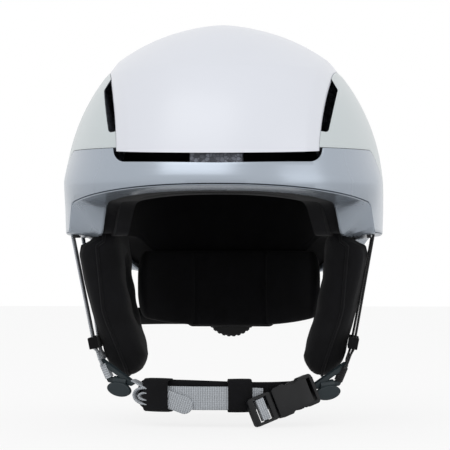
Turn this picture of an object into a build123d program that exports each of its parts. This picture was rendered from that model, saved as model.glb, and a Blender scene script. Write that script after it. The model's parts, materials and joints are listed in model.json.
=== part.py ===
from build123d import *
import math
import os

# Ski helmet. Millimetres, +Z up, the brow faces -Y, the wearer's left is +X.
# The origin is where the crown of the head meets the comfort liner.

# Layers, outside to inside
shell_wall = 2.4
seat_gap = 0.3
foam_wall = 26.0
comfort_wall = 6.0
brow_pad_wall = 8.0

# Shell: half caps round the brow and the nape with a straight stretch between them.
# In section the crown and the side are two arcs that meet near the crease.
half_width = 111.0
half_length = 139.0
rise = 115.0
skirt = 75.0
crown_radius = 121.0
side_radius = 134.0
skirt_radius = 600.0
centre_y = -5.0
centre_z = shell_wall + seat_gap + foam_wall + seat_gap + comfort_wall - rise

# Insets of the layers from the shell's outside
foam_inset = shell_wall + seat_gap
comfort_inset = foam_inset + foam_wall + seat_gap
head_inset = comfort_inset + comfort_wall
wrap_outer_inset = 4.0
wrap_inner_inset = 18.0

# Shell edges in the side view, as (y, z)
rim_points = [(-190, -66.8), (-71, -85.7), (-58, -105.5), (55, -108), (88, -131), (190, -136)]
rim_radii = [14, 7, 30, 20]
lip_points = [(-190, -70.2), (-76, -86.3), (-62, -109), (54, -111.5), (86, -136), (190, -141)]
lip_radii = [14, 8, 30, 20]
crown_front_z = -53.0
band_front_z = -60.7
band_corner_x = 69.0
panel_joint_z = -50.5
band_back_points = [(-54, panel_joint_z), (-45, -66), (-20, -90), (-3, -125)]
crown_back_z = -46.0
rear_band_z = -54.0
rear_joint_y = 62.0

# Crease between the crown and the side panels, in plan
crease_points = [(68.2, -107), (80.0, 20), (72.7, 120)]
panel_gap = 0.3

# Side vent in the front view, as (x, z): it opens onto the crease
side_vent_points = [(64.0, -41.0), (74.5, -1.1), (79.8, -10.5), (73.3, -42.2)]
vent_floor_y = -48.0
front_vent_half_width = 66.0
front_vent_rib = 34.0
front_vent_floor_y = -95.0

# Straps
strap_width = 15.0
socket_webbing_reach = (0.4, 1.2, 2.8)
socket_webbing_edge = 1.2
strap_thickness = 1.8
strap_top = (104.3, -104.0)
strap_bottom = (86.0, -196.0)
front_strap_y = (-40.0, -17.0)
rear_strap_y = (30.0, -9.0)
front_strap_lift = 2.3
anchor_size = (2.6, 22.0, 11.0)
anchor_gap = 0.5
pocket_bottom_z = -114.0
pocket_top_z = -97.0

# Ear pads
ear_top_z = -112.3
ear_outline = [(-56, ear_top_z), (52, ear_top_z), (62, -126), (46, -165), (24, -206), (-10, -206), (-44, -165)]
ear_radii = [10, 9, 12, 30, 18, 16, 30]
ear_profile = [(71, -108), (99, -108), (96, -135), (91.2, -160), (85.8, -180), (81.5, -196),
               (74, -207), (58, -207), (54, -196), (60, -175), (64, -160), (69, -135)]
ear_clip_radius = 4.0
ear_clip_x = 86.0
ear_clip_y = (-25.0, 28.0)
ear_clip_top_z = -100.0
ear_loop_z = -182.0
ear_loop_height = 8.0
ear_loop_width = 46.0

# Chin assembly: an arc in plan
chin_points = [(-72, -20), (-8, -52), (56, -24)]
chin_pad_x = (-58.5, 55.0)
chin_pad_wall = 5.0
chin_pad_z = (-227.0, -207.5)
chin_webbing_z = (-227.0, -211.0)
chin_webbing_x = (-60.5, 19.5)
loop_wall = 1.2
loop_z_margin = 1.2
chin_loop_x = [(-50.5, -34.5), (3.9, 19.1)]
tail_x = (-51.5, -20.0)
bridge_reach = 7.5

# Dividers: triangle in the front view, as (x, z), for the wearer's left
divider_plane_y = -29.0
divider_normal = (0.45, -0.857, -0.25)
divider_apex = (84.0, -197.5)
divider_inner = (63.3, -211.75)
divider_outer = (78.9, -209.75)
divider_bar = 1.5
divider_right_lift = 2.0
lever_barrel_radius = 2.9
lever_clearance = 0.25
lever_half_length = 9.5
lever_half_width = 5.2
lever_thickness = 2.2

# Buckle: from the plug's free end to the socket's webbing end
buckle_start = (20.0, -59.5, -229.5)
buckle_end = (62.5, -39.5, -212.5)
plug_width = 20.0
plug_thickness = 5.0
plug_frame = 18.0
plug_window = (4.0, 14.0)
plug_bar = (7.6, 10.4)
socket_start = 18.4
socket_width = 21.4
socket_thickness = 8.4
socket_wall = 1.6
arm_reach = 23.0
arm_wall = 2.2
catch_window = (28.0, 42.0)
catch_rise = 1.5

# Nape: size adjuster and pad
dial_z = -163.0
dial_radius = 20.0
dial_depth = 9.7
dial_notches = 32
yoke_front_y = 94.6
yoke_width = 66.0
yoke_wall = 1.4
gear_depth = 2.8
gear_teeth = 12
gear_module = 1.0
gear_pressure_deg = 25.0
gear_backlash = 0.25
rack_back = 3.25
running_gap = 0.3
shaft_radius = 3.7
fit_gap = 0.05
screw_radius = 1.5
hanger_width = 28.0
neck_pad_centre_y = 10.0
neck_pad_radius = 84.0
neck_pad_wall = 8.0
neck_pad_angle = 49.0
neck_pad_z = (-174.5, -133.0)

# Goggle strap keeper
keeper_z = -99.0
keeper_height = 30.0
keeper_width = 20.0
keeper_hinge_y = 140.2
keeper_gap = 4.9
keeper_pin_radius = 1.5


# ---------- helpers ----------

def arc_crossing(first, first_radius, second, second_radius):
    gap = second - first
    near = (gap.length ** 2 + first_radius ** 2 - second_radius ** 2) / (2 * gap.length)
    far = math.sqrt(first_radius ** 2 - near ** 2)
    unit = gap.normalized()
    return first + unit * near + Vector(-unit.Z, 0, unit.X) * far


def arc_about(centre, start, end):
    radius = (start - centre).length
    middle = ((start - centre).normalized() + (end - centre).normalized()).normalized()
    return ThreePointArc(start, centre + middle * radius, end)


def dome_profile(inset):
    crown_centre = Vector(0, 0, rise - crown_radius)
    side_centre = Vector(half_width - side_radius, 0, 0)
    skirt_centre = Vector(half_width - skirt_radius, 0, 0)
    top = Vector(0, 0, rise - inset)
    shoulder = arc_crossing(side_centre, side_radius - inset, crown_centre, crown_radius - inset)
    widest = Vector(half_width - inset, 0, 0)
    skirt_reach = math.sqrt((skirt_radius - inset) ** 2 - skirt ** 2)
    hem = skirt_centre + Vector(skirt_reach, 0, -skirt)
    floor = Vector(0, 0, -skirt)
    arcs = [arc_about(crown_centre, top, shoulder), arc_about(side_centre, shoulder, widest),
            arc_about(skirt_centre, widest, hem)]
    return make_face([*arcs, Line(hem, floor), Line(floor, top)])


def dome(inset):
    face = dome_profile(inset)
    straight = half_length - half_width
    cap = revolve(face, Axis.Z, 180)
    slab = extrude(face, amount=straight, both=True)
    nose = Pos(0, -straight, 0) * Rot(0, 0, 180) * cap
    body = nose + Pos(0, straight, 0) * cap + slab + mirror(slab, about=Plane.YZ)
    return Pos(0, centre_y, centre_z) * body


def side_prism(edges):
    return extrude(Plane.YZ * make_face(edges), amount=200, both=True)


def front_prism(edges, y_low, y_high):
    face = Plane.XZ * make_face(edges)
    return Pos(0, y_high, 0) * extrude(face, amount=y_high - y_low)


def closed_outline(points, radii):
    return FilletPolyline(*points, radius=radii, close=True)


def above_line(points, radii):
    line = FilletPolyline(*points, radius=radii)
    roof = Polyline(points[-1], (190, 120), (-190, 120), points[0])
    return side_prism([line, roof])


def single(shape):
    solids = shape.solids()
    return max(solids, key=lambda item: item.volume)


def mirrored(shape):
    return mirror(shape, about=Plane.YZ)


def local_plane(origin, along, normal):
    return Plane(origin=origin, x_dir=along, z_dir=normal)


def block(x, y, z):
    size = (x[1] - x[0], y[1] - y[0], z[1] - z[0])
    return Pos((x[0] + x[1]) / 2, (y[0] + y[1]) / 2, (z[0] + z[1]) / 2) * Box(*size)


def rod(start, end, radius):
    start = Vector(*start)
    direction = Vector(*end) - start
    return Plane(origin=start, z_dir=direction) * Cylinder(
        radius, direction.length, align=(Align.CENTER, Align.CENTER, Align.MIN))


parts = {}


# ---------- shell ----------

def crease_plan(offset):
    front, middle, back = [(x + offset, y) for x, y in crease_points]
    right = ThreePointArc(front, middle, back)
    left = ThreePointArc((-back[0], back[1]), (-middle[0], middle[1]), (-front[0], front[1]))
    rear = Polyline(back, (back[0] - 4, 190), (4 - back[0], 190), (-back[0], back[1]))
    nose = Polyline((-front[0], front[1]), (12 - front[0], -190), (front[0] - 12, -190), front)
    return [right, rear, left, nose]


def crown_region():
    plan = Pos(0, 0, -62) * extrude(make_face(crease_plan(0)), amount=200)
    points = [(-190, crown_front_z), (0, crown_front_z), (rear_joint_y, crown_back_z),
              (190, crown_back_z), (190, 120), (-190, 120)]
    return plan & side_prism(Polyline(*points, close=True))


def side_region():
    front, middle, back = [(-x - panel_gap, y) for x, y in crease_points]
    arc = ThreePointArc(front, middle, back)
    outside = Polyline(back, (back[0], 190), (-190, 190), (-190, -190), (front[0] + 12, -190), front)
    plan = Pos(0, 0, -150) * extrude(make_face([arc, outside]), amount=290)
    top = (-190, 130)
    joint = panel_joint_z + panel_gap
    lower = [(-190, joint), (band_back_points[0][0], joint)]
    back_edge = [(y + 1.2 * panel_gap, z) for y, z in band_back_points[1:]]
    rear = [(rear_joint_y - panel_gap, -125), (rear_joint_y - panel_gap, rear_band_z),
            (rear_joint_y + 2, crown_back_z), (190, crown_back_z), (190, 130)]
    outline = side_prism(Polyline(*lower, *back_edge, *rear, top, close=True))
    vent = closed_outline([(-x, z) for x, z in side_vent_points], 1.4)
    return (plan & outline & above_line(rim_points, rim_radii)) - front_prism(vent, -170, -20)


def band_region():
    under = side_prism(Polyline((-190, panel_joint_z), *band_back_points, (-190, -125), close=True))
    slot_points = [(-band_corner_x - 3, panel_joint_z + 4), (band_corner_x + 3, panel_joint_z + 4),
                   (band_corner_x, band_front_z), (-band_corner_x, band_front_z)]
    slot = front_prism(FilletPolyline(*slot_points, radius=[1, 1, 5, 5], close=True), -190, -60)
    return (under & above_line(rim_points, rim_radii)) - slot


def rear_region():
    points = [(rear_joint_y, rear_band_z), (190, rear_band_z), (190, -150), (rear_joint_y, -150)]
    return side_prism(Polyline(*points, close=True)) & above_line(rim_points, rim_radii)


def make_shell():
    skin = dome(0) - dome(shell_wall)
    parts["crown_panel"] = single(skin & crown_region())
    side = single(skin & side_region())
    parts["side_panel_right"] = side
    parts["side_panel_left"] = single(mirrored(side))
    parts["brow_band"] = single(skin & band_region())
    parts["rear_band"] = single(skin & rear_region())


def strap_pockets():
    pockets = []
    x = (strap_top[0] - 6.3, strap_top[0] + 1.9)
    for side in (-1, 1):
        for y in (front_strap_y[0], rear_strap_y[0]):
            span = sorted((side * x[0], side * x[1]))
            pockets.append(block(span, (y - 12, y + 12), (pocket_bottom_z, pocket_top_z)))
    return pockets


def make_rim_wrap():
    slab = dome(wrap_outer_inset) - dome(wrap_inner_inset)
    for pocket in strap_pockets():
        slab = slab - pocket
    region = above_line(lip_points, lip_radii) - above_line(rim_points, rim_radii)
    parts["rim_wrap"] = single(slab & region)


def make_impact_liner():
    body = dome(foam_inset)
    for pocket in strap_pockets():
        body = body - pocket
    rib = front_vent_rib / 2
    for side in (-1, 1):
        x = sorted((side * rib, side * front_vent_half_width))
        body = body - block(x, (-170, front_vent_floor_y), (band_front_z, crown_front_z))
        vent = closed_outline([(side * px, z) for px, z in side_vent_points], 1.4)
        body = body - front_prism(vent, -170, vent_floor_y)
        for y in ear_clip_y:
            stud = Pos(side * ear_clip_x, y, (ear_clip_top_z - 120) / 2)
            body = body - stud * Cylinder(ear_clip_radius + fit_gap, ear_clip_top_z + 120)
    body = body - dome(foam_inset + foam_wall)
    lifted = [(y, z + seat_gap) for y, z in rim_points]
    parts["impact_liner"] = single(body & above_line(lifted, rim_radii))


def make_comfort_liner():
    lifted = [(y, z + 4) for y, z in rim_points]
    cut_z = crown_front_z + 2
    points = [(-190, cut_z), (-50, cut_z), (-50, -140), (190, -140), (190, 120), (-190, 120)]
    region = side_prism(Polyline(*points, close=True)) & above_line(lifted, rim_radii)
    parts["comfort_liner"] = single((dome(comfort_inset) - dome(head_inset)) & region)
    low = [(y, z + 1) for y, z in lip_points]
    top = cut_z - seat_gap
    points = [(-190, top), (-50 - seat_gap, top), (-50 - seat_gap, -140), (-190, -140)]
    region = side_prism(Polyline(*points, close=True)) & above_line(low, lip_radii)
    slab = dome(comfort_inset) - dome(comfort_inset + brow_pad_wall)
    parts["brow_pad"] = single(slab & region)


# ---------- straps and ear pads ----------

def strap_slab(side, y_top, y_bottom, lift):
    top = Vector(side * strap_top[0], y_top, strap_top[1])
    bottom = Vector(side * (strap_bottom[0] + lift), y_bottom, strap_bottom[1])
    along = bottom - top
    across = along.cross(Vector(0, 1, 0))
    plane = local_plane(top, along, across)
    size = (along.length, strap_width, strap_thickness)
    return plane * Box(*size, align=(Align.MIN, Align.CENTER, Align.CENTER))


def make_straps():
    anchors = []
    x_outer = strap_top[0] - strap_thickness / 2 - anchor_gap
    for side, name in ((1, "left"), (-1, "right")):
        front = strap_slab(side, *front_strap_y, front_strap_lift)
        parts["strap_front_" + name] = front
        parts["strap_rear_" + name] = strap_slab(side, *rear_strap_y, 0)
        for y in (front_strap_y[0], rear_strap_y[0]):
            depth, width, height = anchor_size
            centre = Pos(side * (x_outer - 1.1 - depth / 2), y, strap_top[1])
            anchors.append(centre * Box(depth, width, height))
    parts["strap_anchors"] = Compound(anchors)


def ear_pad():
    side = extrude(Plane.YZ * make_face(closed_outline(ear_outline, ear_radii)), amount=130)
    front = front_prism(closed_outline(ear_profile, 3), -90, 90)
    return single(side & front)


def ear_loop():
    drop_share = (strap_top[1] - ear_loop_z) / (strap_top[1] - strap_bottom[1])
    strap_x = strap_top[0] - drop_share * (strap_top[0] - strap_bottom[0])
    y_mid = front_strap_y[0] + drop_share * (front_strap_y[1] - front_strap_y[0])
    y_rear = rear_strap_y[0] + drop_share * (rear_strap_y[1] - rear_strap_y[0])
    centre_y_loop = (y_mid + y_rear) / 2
    lean = math.degrees(math.atan2(strap_top[0] - strap_bottom[0], strap_top[1] - strap_bottom[1]))
    clear = strap_thickness / 2 + seat_gap
    inner_x = (-clear, clear + front_strap_lift)
    width = ear_loop_width
    ring = block((inner_x[0] - 1.0, inner_x[1] + 1.0), (-width / 2 - 1.2, width / 2 + 1.2),
                 (-ear_loop_height / 2, ear_loop_height / 2))
    hole = block(inner_x, (-width / 2, width / 2), (-ear_loop_height, ear_loop_height))
    return Pos(strap_x, centre_y_loop, ear_loop_z) * Rot(0, lean, 0) * (ring - hole)


def make_ear_pads():
    pad = ear_pad()
    loop = ear_loop()
    parts["ear_pad_left"] = pad
    parts["ear_pad_right"] = mirrored(pad)
    parts["ear_loop_left"] = loop
    parts["ear_loop_right"] = mirrored(loop)
    clips = []
    for side in (-1, 1):
        for y in ear_clip_y:
            low = (side * ear_clip_x, y, ear_top_z + seat_gap)
            clips.append(rod(low, (side * ear_clip_x, y, ear_clip_top_z - seat_gap), ear_clip_radius))
    parts["ear_clips"] = Compound(clips)


# ---------- chin ----------

chin_arc = ThreePointArc(*chin_points)
chin_centre = chin_arc.arc_center
chin_radius = chin_arc.radius


def ring_sector(radii, x_span, z_span):
    middle = (radii[0] + radii[1]) / 2
    angles = [math.asin((x - chin_centre.X) / middle) for x in x_span]

    def point(radius, angle):
        return (chin_centre.X + radius * math.sin(angle), chin_centre.Y - radius * math.cos(angle))

    half = (angles[0] + angles[1]) / 2
    inner = ThreePointArc(*[point(radii[0], a) for a in (angles[0], half, angles[1])])
    outer = ThreePointArc(*[point(radii[1], a) for a in (angles[0], half, angles[1])])
    ends = [Line(inner @ 0, outer @ 0), Line(inner @ 1, outer @ 1)]
    return Pos(0, 0, z_span[0]) * extrude(make_face([inner, outer, *ends]), amount=z_span[1] - z_span[0])


pad_radii = (chin_radius - chin_pad_wall / 2, chin_radius + chin_pad_wall / 2)
webbing_radii = (pad_radii[1] + seat_gap, pad_radii[1] + seat_gap + strap_thickness)
tail_radii = (webbing_radii[1] + seat_gap, webbing_radii[1] + seat_gap + strap_thickness)


def chin_loop(x_span, outer_layer):
    margin = loop_z_margin
    inside_z = (chin_pad_z[0] - 0.4, chin_pad_z[1] + 0.4)
    outside_z = (inside_z[0] - margin, inside_z[1] + margin)
    inside = (pad_radii[0] - seat_gap, outer_layer + seat_gap)
    outside = (inside[0] - loop_wall, inside[1] + loop_wall)
    wide = (x_span[0] - 3, x_span[1] + 3)
    return ring_sector(outside, x_span, outside_z) - ring_sector(inside, wide, inside_z)


def make_chin():
    parts["chin_pad"] = ring_sector(pad_radii, chin_pad_x, chin_pad_z)
    parts["chin_webbing"] = ring_sector(webbing_radii, chin_webbing_x, chin_webbing_z)
    parts["webbing_tail"] = ring_sector(tail_radii, tail_x, chin_webbing_z)
    loops = [chin_loop(chin_loop_x[0], tail_radii[1]), chin_loop(chin_loop_x[1], webbing_radii[1])]
    parts["chin_pad_loops"] = Compound(loops)


def make_webbing_fold():
    start_x = tail_x[0] - seat_gap
    middle = (tail_radii[0] + tail_radii[1]) / 2
    angle = math.asin((start_x - chin_centre.X) / middle)
    start = Vector(chin_centre.X + middle * math.sin(angle), chin_centre.Y - middle * math.cos(angle))
    back = Vector(-math.cos(angle), -math.sin(angle))
    outward = Vector(math.sin(angle), -math.cos(angle))
    reach = 4.5
    bend = 3.2
    turn_start = start + back * reach
    turn_end = turn_start + outward * 2 * bend
    turn_mid = turn_start + outward * bend + back * bend
    path = [Line(start, turn_start), ThreePointArc(turn_start, turn_mid, turn_end),
            Line(turn_end, turn_end - back * 3.4)]
    outline = trace(Wire(path), strap_thickness)
    height = chin_webbing_z[1] - chin_webbing_z[0]
    parts["webbing_fold"] = single(Pos(0, 0, chin_webbing_z[0]) * extrude(outline, amount=height))


# ---------- dividers ----------

def divider_frame():
    normal = Vector(*divider_normal).normalized()
    middle_x = (divider_inner[0] + divider_outer[0]) / 2
    middle_z = (divider_inner[1] + divider_outer[1]) / 2

    def on_plane(x, z):
        lean = normal.X * (x - middle_x) + normal.Z * (z - middle_z)
        return Vector(x, divider_plane_y - lean / normal.Y, z)

    apex, inner, outer = [on_plane(*p) for p in (divider_apex, divider_inner, divider_outer)]
    plane = local_plane((inner + outer) / 2, outer - inner, normal)
    flat = [plane.to_local_coords(p) for p in (apex, inner, outer)]
    return plane, [(p.X, p.Y) for p in flat]


def divider_ring(flat):
    triangle = make_face(Polyline(*flat, close=True))
    ring = offset(triangle, divider_bar + 0.4, kind=Kind.ARC) - offset(triangle, -divider_bar)
    half = divider_bar
    body = Pos(0, 0, -half) * extrude(ring, amount=2 * half)
    clearance = lever_barrel_radius + lever_clearance
    length = lever_barrel_length(flat)
    notch = Rot(0, 90, 0) * Cylinder(clearance, length + 2 * lever_clearance)
    bar = Rot(0, 90, 0) * Cylinder(divider_bar, length + 3)
    return single((body - notch) + bar)


def lever_barrel_length(flat):
    return abs(flat[2][0] - flat[1][0]) - 7.0


def divider_lever(flat):
    length = lever_barrel_length(flat)
    bore = divider_bar + fit_gap
    barrel = Rot(0, 90, 0) * (Cylinder(lever_barrel_radius, length) - Cylinder(bore, length + 2))
    low = divider_bar + 0.4
    oval = Pos(0, -lever_half_width, low) * extrude(
        Ellipse(lever_half_length, lever_half_width), amount=lever_thickness)
    oval = fillet(oval.edges().filter_by(GeomType.ELLIPSE).sort_by(Axis.Z)[-1:], 0.8)
    tube = Rot(0, 90, 0) * Cylinder(bore, length + 2)
    return single((oval + barrel) - tube)


def make_dividers():
    plane, flat = divider_frame()
    ring = plane * divider_ring(flat)
    lever = plane * divider_lever(flat)
    parts["divider_left"] = ring
    parts["divider_lock_left"] = lever
    lift = Pos(0, 0, divider_right_lift)
    parts["divider_right"] = lift * mirrored(ring)
    parts["divider_lock_right"] = lift * mirrored(lever)


# ---------- buckle ----------

def buckle_plane():
    start = Vector(*buckle_start)
    along = (Vector(*buckle_end) - start).normalized()
    forward = Vector(0, -1, 0)
    normal = forward - along * forward.dot(along)
    return local_plane(start, along, normal), (Vector(*buckle_end) - start).length


def buckle_plug():
    half_w = plug_width / 2
    half_t = plug_thickness / 2
    frame = Pos(plug_frame / 2, 0, 0) * extrude(RectangleRounded(plug_frame, plug_width, 2.4), amount=half_t,
                                                both=True)
    window_half = strap_width / 2 + 0.6
    frame = frame - block(plug_window, (-window_half, window_half), (-half_t - 1, half_t + 1))
    frame = frame + block(plug_bar, (-window_half - 0.5, window_half + 0.5), (-1.1, 1.1))
    guide = block((plug_frame - 0.5, plug_frame + arm_reach - 8), (-1.2, 1.2), (-1.2, 1.2))
    return single(frame + guide)


def release_arm():
    outer = socket_width / 2 - socket_wall - 0.35
    root = plug_frame + 0.3
    tip = root + arm_reach
    catch_start = catch_window[0] + 0.4
    points = [(root, outer), (catch_start, outer), (catch_start + 6, outer + catch_rise),
              (tip - 4, outer + catch_rise), (tip, outer - 1.2), (tip - 1.5, outer - 2.6),
              (tip - 7, outer - arm_wall), (root, outer - arm_wall - 0.4)]
    return Pos(0, 0, -2.0) * extrude(make_face(Polyline(*points, close=True)), amount=4.0)


def buckle_socket(length):
    half_w = socket_width / 2
    half_t = socket_thickness / 2
    mouth = socket_start
    body = Pos((mouth + length) / 2, 0, 0) * extrude(
        RectangleRounded(length - mouth, socket_width, 2.6), amount=half_t, both=True)
    inside_w = half_w - socket_wall
    inside_t = half_t - socket_wall
    cavity_end = length - 6.5
    body = body - block((mouth - 1, cavity_end), (-inside_w, inside_w), (-inside_t, inside_t))
    windows = block(catch_window, (-half_w - 1, half_w + 1), (-inside_t, inside_t))
    slot_half = strap_width / 2 + 0.6
    slot = block((length - 4.8, length - 2.0), (-slot_half, slot_half), (-half_t - 1, half_t + 1))
    return single(body - windows - slot)


def make_buckle():
    plane, length = buckle_plane()
    arm = release_arm()
    parts["buckle_plug"] = plane * buckle_plug()
    parts["buckle_arm_upper"] = plane * arm
    parts["buckle_arm_lower"] = plane * mirror(arm, about=Plane.XZ)
    parts["buckle_socket"] = plane * buckle_socket(length)
    make_plug_webbing(plane)
    make_webbing_bridge()
    make_socket_webbing(plane, length)


def make_plug_webbing(plane):
    half = strap_width / 2
    gap = seat_gap
    inner_x = (plug_bar[0] - gap, plug_bar[1] + gap)
    inner_z = (-1.1 - gap, 1.1 + gap)
    wall = 1.2
    outside = block((inner_x[0] - wall, inner_x[1] + wall), (-half, half), (inner_z[0] - wall, inner_z[1] + wall))
    hole = block(inner_x, (-half - 1, half + 1), inner_z)
    parts["plug_webbing"] = plane * (outside - hole)


def make_webbing_bridge():
    span = (chin_webbing_x[1] + 0.6, chin_webbing_x[1] + bridge_reach)
    z = (chin_webbing_z[0] + 1, chin_webbing_z[1] - 1)
    parts["webbing_bridge"] = ring_sector(webbing_radii, span, z)


def make_socket_webbing(plane, length):
    # the strap narrows at the divider, where the lock lever swings past it
    half = strap_width / 2
    near, neck, far = [length + reach for reach in socket_webbing_reach]
    wide = block((near, neck), (-half, half), (-3.4, -1.6))
    narrow = block((near, far), (-socket_webbing_edge, half), (-3.4, -1.6))
    parts["socket_webbing"] = plane * single(wide + narrow)


# ---------- nape ----------

def yoke_layout():
    front = yoke_front_y
    cover = (front, front + yoke_wall)
    cavity = (cover[1], cover[1] + gear_depth + 2 * running_gap)
    rear = (cavity[1], cavity[1] + 2.6)
    return cover, cavity, rear


def rack_levels():
    pitch = gear_teeth * gear_module / 2
    root = pitch + 1.25 * gear_module
    return pitch, root, root + rack_back


def gear_face():
    pitch = gear_teeth * gear_module / 2
    pressure = math.radians(gear_pressure_deg)
    base = pitch * math.cos(pressure)
    tip = pitch + gear_module
    root = pitch - 1.25 * gear_module
    half_tooth = math.pi / (2 * gear_teeth) - gear_backlash / (4 * pitch)
    involute_pitch = math.tan(pressure) - pressure
    points = []
    for tooth in range(gear_teeth):
        middle = 2 * math.pi * tooth / gear_teeth
        flank = []
        steps = 5
        for step in range(steps + 1):
            radius = max(base, root) + (tip - max(base, root)) * step / steps
            angle = math.acos(min(1.0, base / radius))
            half = half_tooth + involute_pitch - (math.tan(angle) - angle)
            flank.append((radius, half))
        foot = (root, flank[0][1])
        left = [(r, middle - h) for r, h in [foot] + flank]
        right = [(r, middle + h) for r, h in reversed([foot] + flank)]
        points += [(r * math.cos(a), r * math.sin(a)) for r, a in left + right]
    return make_face(Polyline(*points, close=True))


def rack_face(first, last):
    pitch, root, back = rack_levels()
    tooth = math.pi * gear_module
    slope = math.tan(math.radians(gear_pressure_deg))
    half = tooth / 4 - gear_backlash / 4
    points = [(first, back), (first, root)]
    count = int((last - first) / tooth)
    start = -(count // 2) * tooth + tooth / 2
    for index in range(count):
        middle = start + index * tooth
        if middle - tooth / 2 < first or middle + tooth / 2 > last:
            continue
        low = pitch - gear_module
        wide = half + slope * (root - pitch)
        narrow = half - slope * gear_module
        points += [(middle - wide, root), (middle - narrow, low), (middle + narrow, low), (middle + wide, root)]
    points += [(last, root), (last, back)]
    return make_face(Polyline(*points, close=True))


def gear_plane(y):
    return Plane(origin=(0, y, dial_z), x_dir=(1, 0, 0), z_dir=(0, -1, 0))


def adjuster_band():
    cover, cavity, rear = yoke_layout()
    near = cavity[0] + running_gap
    far = near + gear_depth
    pitch, root, back = rack_levels()
    exit_x = yoke_width / 2 + 13
    rack = gear_plane(far) * extrude(rack_face(-16, 16), amount=gear_depth)
    strip = block((15.5, exit_x), (near, far), (dial_z + root, dial_z + back))
    arm_y = (near + far) / 2
    arc = ThreePointArc((exit_x - 0.5, arm_y), (64, 90), (79, 73))
    arm = Pos(0, 0, dial_z - 2) * extrude(trace(Wire([arc]), 2.2), amount=back + 2)
    arm = arm - block((exit_x - 8, exit_x - 0.2), (80, 110), (dial_z - 9, dial_z + root - 1))
    return single(rack + strip + arm)


def make_cradle():
    cover, cavity, rear = yoke_layout()
    pitch, root, back = rack_levels()
    half_h = back + running_gap + yoke_wall
    half_w = yoke_width / 2
    tall = (dial_z - half_h, dial_z + half_h)
    inner = (dial_z - back - running_gap, dial_z + back + running_gap)
    shell_block = block((-half_w, half_w), (cavity[0], rear[1]), tall)
    shell_block = fillet(shell_block.edges().filter_by(Axis.Y), 5)
    hanger_top = rim_z_at(rear[1]) - seat_gap
    hanger = block((-hanger_width / 2, hanger_width / 2), (cavity[0], rear[1] - 1.4), (tall[1] - 1, hanger_top))
    hole = Plane(origin=(0, rear[1] + 1, dial_z), z_dir=(0, -1, 0)) * Cylinder(shaft_radius + running_gap, 20)
    cavity_block = block((-half_w + yoke_wall, half_w - yoke_wall), cavity, inner)
    left_slot = block((0, half_w + 1), cavity, (dial_z + root - running_gap, inner[1]))
    right_slot = block((-half_w - 1, 0), cavity, (inner[0], dial_z - root + running_gap))
    yoke = shell_block + hanger - cavity_block - left_slot - right_slot - hole
    parts["cradle_yoke"] = single(yoke)
    plate = block((-half_w, half_w), cover, tall)
    parts["yoke_cover"] = fillet(plate.edges().filter_by(Axis.Y), 5)
    band = adjuster_band()
    parts["band_left"] = band
    parts["band_right"] = Pos(0, 0, 2 * dial_z) * mirror(mirrored(band), about=Plane.XY)


def rim_z_at(y):
    (y0, z0), (y1, z1) = rim_points[-2:]
    return z0 + (z1 - z0) * (y - y0) / (y1 - y0)


def make_dial():
    cover, cavity, rear = yoke_layout()
    near = cavity[0] + running_gap
    far = near + gear_depth
    dial_y = rear[1] + running_gap
    shaft_end = dial_y + 4.0
    pinion = gear_plane(far) * extrude(gear_face(), amount=gear_depth)
    pinion = pinion + rod((0, far - 0.2, dial_z), (0, shaft_end, dial_z), shaft_radius)
    screw_tip = far + 0.5
    pinion = pinion - rod((0, screw_tip, dial_z), (0, shaft_end + 1, dial_z), screw_radius + fit_gap)
    parts["dial_pinion"] = single(pinion)
    end = dial_y + dial_depth
    disc = rod((0, dial_y, dial_z), (0, end, dial_z), dial_radius)
    rims = disc.edges().filter_by(GeomType.CIRCLE)
    disc = chamfer(rims, 1.4)
    disc = disc - rod((0, dial_y - 1, dial_z), (0, shaft_end + fit_gap, dial_z), shaft_radius + fit_gap)
    disc = disc - rod((0, dial_y, dial_z), (0, end + 1, dial_z), screw_radius + fit_gap)
    recess_y = end - 3.4
    disc = disc - rod((0, recess_y, dial_z), (0, end + 1, dial_z), 6.5)
    notches = []
    for index in range(dial_notches):
        angle = 2 * math.pi * index / dial_notches
        x = (dial_radius + 0.5) * math.sin(angle)
        z = dial_z + (dial_radius + 0.5) * math.cos(angle)
        notches.append(rod((x, dial_y - 1, z), (x, end + 1, z), 1.2))
    parts["fit_dial"] = single(disc - notches)
    shank = rod((0, screw_tip + 0.5, dial_z), (0, recess_y + 0.1, dial_z), screw_radius)
    head = rod((0, recess_y + fit_gap, dial_z), (0, recess_y + 2.2, dial_z), 3.6)
    cross = block((-2.2, 2.2), (recess_y + 1.2, recess_y + 3), (dial_z - 0.4, dial_z + 0.4))
    cross = cross + block((-0.4, 0.4), (recess_y + 1.2, recess_y + 3), (dial_z - 2.2, dial_z + 2.2))
    parts["dial_screw"] = single(shank + head - cross)


def make_neck_pad():
    outer = neck_pad_radius
    inner = outer - neck_pad_wall
    turn = math.radians(neck_pad_angle)

    def arc(radius):
        x = radius * math.sin(turn)
        y = neck_pad_centre_y + radius * math.cos(turn)
        return ThreePointArc((-x, y), (0, neck_pad_centre_y + radius), (x, y))

    low, high = arc(inner), arc(outer)
    face = make_face([low, high, Line(low @ 0, high @ 0), Line(low @ 1, high @ 1)])
    pad = Pos(0, 0, neck_pad_z[0]) * extrude(face, amount=neck_pad_z[1] - neck_pad_z[0])
    parts["neck_pad"] = pad


# ---------- goggle strap keeper ----------

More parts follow.
